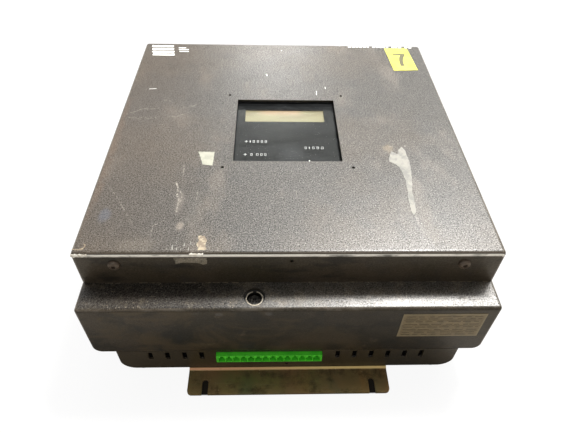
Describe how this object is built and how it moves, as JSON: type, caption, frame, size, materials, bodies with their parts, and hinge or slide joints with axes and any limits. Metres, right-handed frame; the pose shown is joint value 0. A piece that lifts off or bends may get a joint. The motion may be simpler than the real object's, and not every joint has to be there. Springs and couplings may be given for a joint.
{
  "type": "charge controller",
  "caption": "Flat black sheet-steel charge controller case with display window lid, front shelf socket, vented base with green terminal header and gold mounting ears.",
  "frame": {"origin": "centre of the footprint on the mounting plane, under the bracket ears", "axes": "+Z out of the display face, -Y towards the terminal end, +X to the right seen from above with the terminals nearest"},
  "size_m": [0.2664, 0.325, 0.1062],
  "materials": {
    "case_paint": "textured semi-gloss",
    "gold_passivate": "yellow passivated",
    "black_oxide": "black oxide",
    "zinc_steel": "zinc plated",
    "foot_rubber": "matt",
    "board_green": "solder mask",
    "header_green": "moulded",
    "tin_pin": "tin plated",
    "moulding_black": "moulded",
    "shield_metal": "nickel plated",
    "core_grey": "moulded",
    "wire_grey": "pvc",
    "arrester_blue": "dipped",
    "sink_alloy": "mill extrusion",
    "package_black": "moulded epoxy",
    "cap_sleeve": "shrink sleeve",
    "ferrite": "coated powder core",
    "enamel_copper": "enamelled",
    "relay_case": "moulded",
    "spring_brass": "bright",
    "base_cream": "moulded",
    "shunt_alloy": "dull",
    "core_steel": "varnished laminations",
    "coil_tape": "tape",
    "label_tan": "aged film",
    "tag_yellow": "sticker",
    "pane_smoked": "glossy",
    "mask_ink": "printed film",
    "foam_black": "foam",
    "lcd_glass": "polariser",
    "lcd_diffuser": "diffuser",
    "nylon_white": "moulded",
    "lamp_red": "tinted",
    "trimmer_blue": "moulded",
    "trimmer_cream": "moulded",
    "fuse_ceramic": "glazed",
    "fuse_cap": "nickel plated"
  },
  "bodies": {
    "case": {"base_pan": "case_paint", "housing_shell": "case_paint", "shell_rivets": "zinc_steel", "mounting_bracket_front": "gold_passivate", "mounting_bracket_rear": "gold_passivate", "bracket_rivets": "zinc_steel", "rubber_feet": "foot_rubber", "main_board": "board_green", "board_standoffs": "zinc_steel", "board_screws": "zinc_steel", "terminal_header": "header_green", "header_pins": "tin_pin", "socket_body": "moulding_black", "socket_shield": "shield_metal", "socket_core": "core_grey", "socket_lead": "wire_grey", "surge_arresters": "arrester_blue", "heat_sink": "sink_alloy", "power_transistors": "package_black", "transistor_screws": "zinc_steel", "reservoir_capacitors": "cap_sleeve", "choke_core": "ferrite", "choke_winding": "enamel_copper", "relays": "relay_case", "fuse_clips": "spring_brass", "fuse_base": "base_cream", "microcontroller": "package_black", "logic_chips": "package_black", "current_shunt": "shunt_alloy", "transformer_core": "core_steel", "transformer_coil": "coil_tape", "ribbon_header": "moulding_black", "rating_label": "label_tan"},
    "lid_assembly": {"lid": "case_paint", "lid_screws": "black_oxide", "lid_nuts": "zinc_steel", "display_frame": "moulding_black", "window_pane": "pane_smoked", "window_mask": "mask_ink", "pane_gasket": "foam_black", "lcd_frame": "zinc_steel", "lcd_glass": "lcd_glass", "lcd_backlight": "lcd_diffuser", "lcd_board": "board_green", "lcd_spacers": "nylon_white", "lcd_screws": "zinc_steel", "display_board": "board_green", "display_posts": "zinc_steel", "display_screws": "zinc_steel", "status_lamps": "lamp_red", "contrast_trimmer": "trimmer_blue", "alarm_sounder": "moulding_black", "display_drivers": "package_black", "ribbon_plugs": "moulding_black", "ribbon_cable": "wire_grey", "lot_tag": "tag_yellow"},
    "fuse_cartridge": {"fuse_tube": "fuse_ceramic", "fuse_caps": "fuse_cap"},
    "trimmer": {"trimmer_rotor": "trimmer_cream"}
  },
  "joints": [
    {"name": "lid_lift", "type": "slide", "parent": "case", "child": "lid_assembly", "axis": [0, 0, 1], "range_m": [0, 0.09]},
    {"name": "fuse_pull", "type": "slide", "parent": "case", "child": "fuse_cartridge", "axis": [0, 0, 1], "range_m": [0, 0.02]},
    {"name": "trimmer_turn", "type": "hinge", "parent": "lid_assembly", "child": "trimmer", "pos_m": [0.048, -0.046, 0.0899], "axis": [0, 0, 1], "range_deg": [-135, 135]}
  ]
}
